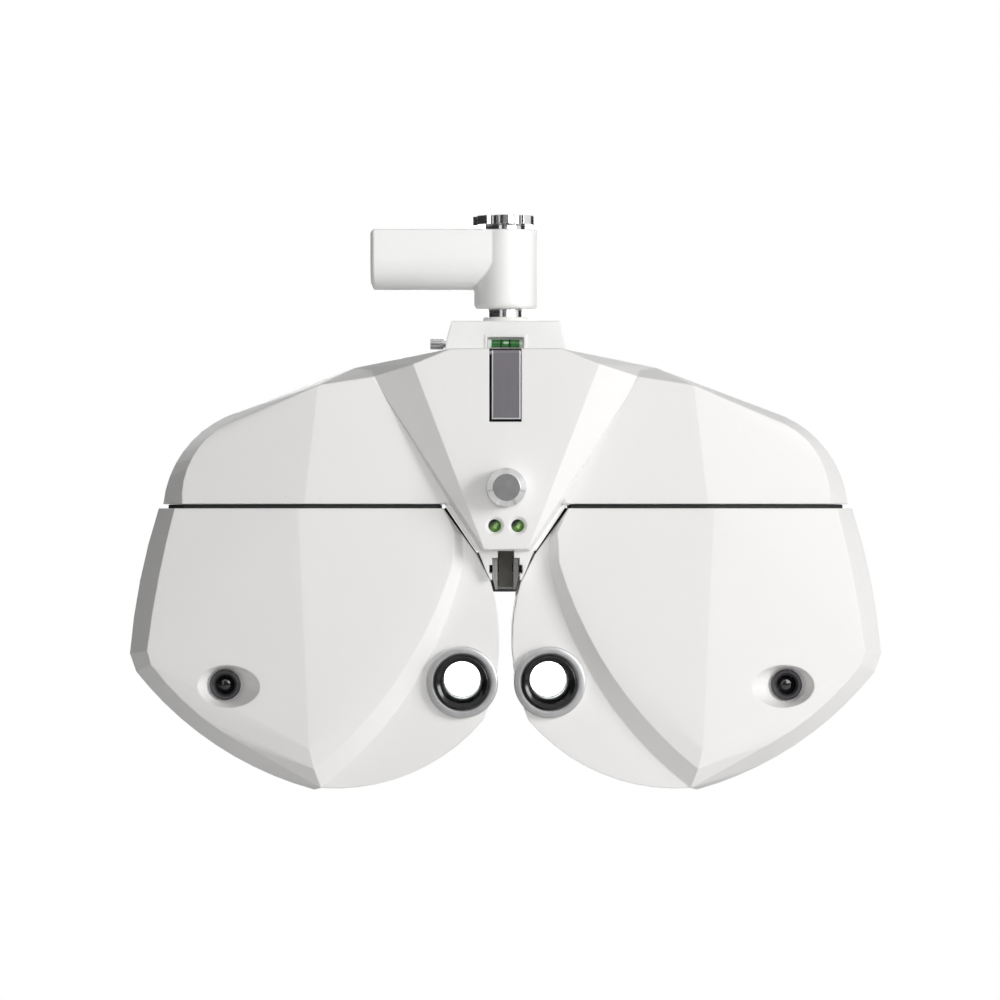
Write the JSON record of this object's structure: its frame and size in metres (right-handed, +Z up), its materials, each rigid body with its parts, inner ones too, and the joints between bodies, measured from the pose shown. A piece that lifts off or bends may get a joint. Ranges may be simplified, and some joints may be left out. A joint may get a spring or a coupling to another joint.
{
  "type": "phoropter head",
  "caption": "Motorised phoropter head: twin lens-disc heads with sight windows under a winged bridge, hung from a swivelling arm sleeve.",
  "frame": {"origin": "centre of the arm socket at its mouth", "axes": "+X into the socket along the arm, -Y towards the examiner, +Z up"},
  "size_m": [0.416, 0.1376, 0.3189],
  "materials": {
    "white_shell": "satin moulded shell",
    "arm_paint": "satin white paint",
    "chrome": "polished",
    "steel": "brushed",
    "black_metal": "black oxide",
    "aluminium": "machined",
    "black_plastic": "matte",
    "grey_plastic": "satin",
    "glass": "coated",
    "dark_glass": "polished",
    "vial_glass": "clear tube with green fluid",
    "lamp_lens": "clear lens",
    "circuit_board": "solder mask",
    "face_plastic": "frosted",
    "pad_rubber": "soft",
    "brass": "turned"
  },
  "bodies": {
    "arm": {"arm_sleeve": "arm_paint"},
    "clamp": {"clamp_knob": "chrome"},
    "swivel": {"swivel_shaft": "steel", "tilt_pin": "steel"},
    "bridge": {"top_bracket": "arm_paint", "level_vial": "vial_glass", "bridge_frame": "aluminium", "upper_front_cover": "white_shell", "upper_rear_cover": "white_shell", "guide_rods": "steel", "pd_motor": "black_plastic", "near_lamps": "lamp_lens", "lamp_board": "circuit_board", "holder_pin": "steel"},
    "level_screw": {"level_knob": "chrome"},
    "near_holder": {"near_rod_holder": "steel"},
    "pd_drive": {"pd_screw": "steel"},
    "forehead_screw": {"forehead_knob": "chrome"},
    "forehead_rest": {"forehead_carriage": "black_metal", "hanger_clevis": "steel", "cross_pin": "black_metal", "forehead_pad": "pad_rubber"},
    "left_slide": {"left_carriage": "aluminium"},
    "left_head": {"left_front_cover": "white_shell", "left_rear_cover": "white_shell", "left_chassis": "aluminium", "left_window_ring": "chrome", "left_window_bezel": "black_plastic", "left_window_glass": "glass", "left_align_ring": "grey_plastic", "left_align_glass": "dark_glass", "left_eyepiece": "black_plastic", "left_face_shield": "face_plastic", "left_disc_axle": "steel", "left_disc_motors": "black_plastic"},
    "left_sphere_wheel": {"left_sphere_disc": "aluminium", "left_sphere_lenses": "glass"},
    "left_sphere_drive": {"left_sphere_pinion": "brass"},
    "left_cylinder_wheel": {"left_cylinder_disc": "aluminium", "left_cylinder_lenses": "glass"},
    "left_cylinder_drive": {"left_cylinder_pinion": "brass"},
    "right_slide": {"right_carriage": "aluminium"},
    "right_head": {"right_front_cover": "white_shell", "right_rear_cover": "white_shell", "right_chassis": "aluminium", "right_window_ring": "chrome", "right_window_bezel": "black_plastic", "right_window_glass": "glass", "right_align_ring": "grey_plastic", "right_align_glass": "dark_glass", "right_eyepiece": "black_plastic", "right_face_shield": "face_plastic", "right_disc_axle": "steel", "right_disc_motors": "black_plastic"},
    "right_sphere_wheel": {"right_sphere_disc": "aluminium", "right_sphere_lenses": "glass"},
    "right_sphere_drive": {"right_sphere_pinion": "brass"},
    "right_cylinder_wheel": {"right_cylinder_disc": "aluminium", "right_cylinder_lenses": "glass"},
    "right_cylinder_drive": {"right_cylinder_pinion": "brass"}
  },
  "joints": [
    {"name": "arm_swivel", "type": "hinge", "parent": "arm", "child": "swivel", "pos_m": [0.075, 0, 0], "axis": [0, 0, 1], "range_deg": [-90, 90]},
    {"name": "clamp_turn", "type": "hinge", "parent": "arm", "child": "clamp", "pos_m": [0.075, 0, 0.02], "axis": [0, 0, 1], "range_deg": [-180, 180]},
    {"name": "level_tilt", "type": "hinge", "parent": "swivel", "child": "bridge", "pos_m": [0.075, 0, -0.055], "axis": [0, 1, 0], "range_deg": [-2.5, 2.5]},
    {"name": "level_turn", "type": "hinge", "parent": "bridge", "child": "level_screw", "pos_m": [0.045, 0, -0.0465], "axis": [1, 0, 0], "range_deg": [-270, 270]},
    {"name": "pd_right", "type": "slide", "parent": "bridge", "child": "right_slide", "axis": [1, 0, 0], "range_m": [0, 0.016]},
    {"name": "pd_left", "type": "slide", "parent": "bridge", "child": "left_slide", "axis": [-1, 0, 0], "range_m": [0, 0.016]},
    {"name": "pd_turn", "type": "hinge", "parent": "bridge", "child": "pd_drive", "pos_m": [0.075, -0.014, -0.1043], "axis": [1, 0, 0], "range_deg": [0, 2900]},
    {"name": "right_converge", "type": "hinge", "parent": "right_slide", "child": "right_head", "pos_m": [0.165, -0.028, -0.14], "axis": [0, 0, -1], "range_deg": [0, 4.5]},
    {"name": "left_converge", "type": "hinge", "parent": "left_slide", "child": "left_head", "pos_m": [-0.015, -0.028, -0.14], "axis": [0, 0, 1], "range_deg": [0, 4.5]},
    {"name": "holder_swing", "type": "hinge", "parent": "bridge", "child": "near_holder", "pos_m": [0.075, -0.0565, -0.0543], "axis": [-1, 0, 0], "range_deg": [0, 90]},
    {"name": "forehead_slide", "type": "slide", "parent": "bridge", "child": "forehead_rest", "axis": [0, 1, 0], "range_m": [0, 0.015]},
    {"name": "forehead_turn", "type": "hinge", "parent": "bridge", "child": "forehead_screw", "pos_m": [0.075, -0.06, -0.1275], "axis": [0, 1, 0], "range_deg": [0, 2720]},
    {"name": "left_sphere_spin", "type": "hinge", "parent": "left_head", "child": "left_sphere_wheel", "pos_m": [0.0085, -0.014, -0.2226], "axis": [0, 1, 0], "continuous": true},
    {"name": "left_sphere_drive_spin", "type": "hinge", "parent": "left_head", "child": "left_sphere_drive", "pos_m": [-0.04753, -0.014, -0.19025], "axis": [0, 1, 0], "continuous": true},
    {"name": "left_cylinder_spin", "type": "hinge", "parent": "left_head", "child": "left_cylinder_wheel", "pos_m": [0.0085, -0.004, -0.2226], "axis": [0, 1, 0], "continuous": true},
    {"name": "left_cylinder_drive_spin", "type": "hinge", "parent": "left_head", "child": "left_cylinder_drive", "pos_m": [-0.05303, -0.004, -0.24259], "axis": [0, 1, 0], "continuous": true},
    {"name": "right_sphere_spin", "type": "hinge", "parent": "right_head", "child": "right_sphere_wheel", "pos_m": [0.1415, -0.014, -0.2226], "axis": [0, 1, 0], "continuous": true},
    {"name": "right_sphere_drive_spin", "type": "hinge", "parent": "right_head", "child": "right_sphere_drive", "pos_m": [0.19753, -0.014, -0.19025], "axis": [0, 1, 0], "continuous": true},
    {"name": "right_cylinder_spin", "type": "hinge", "parent": "right_head", "child": "right_cylinder_wheel", "pos_m": [0.1415, -0.004, -0.2226], "axis": [0, 1, 0], "continuous": true},
    {"name": "right_cylinder_drive_spin", "type": "hinge", "parent": "right_head", "child": "right_cylinder_drive", "pos_m": [0.20303, -0.004, -0.24259], "axis": [0, 1, 0], "continuous": true}
  ],
  "couplings": [
    {"joint": "level_turn", "follows": "level_tilt", "ratio": 106.8},
    {"joint": "pd_left", "follows": "pd_right", "ratio": 1},
    {"joint": "pd_turn", "follows": "pd_right", "rad_per_m": 3141.6},
    {"joint": "left_converge", "follows": "right_converge", "ratio": 1},
    {"joint": "forehead_turn", "follows": "forehead_slide", "rad_per_m": 3141.6},
    {"joint": "left_sphere_drive_spin", "follows": "left_sphere_spin", "ratio": -7.6},
    {"joint": "left_cylinder_drive_spin", "follows": "left_cylinder_spin", "ratio": -7.6},
    {"joint": "right_sphere_drive_spin", "follows": "right_sphere_spin", "ratio": -7.6},
    {"joint": "right_cylinder_drive_spin", "follows": "right_cylinder_spin", "ratio": -7.6}
  ]
}
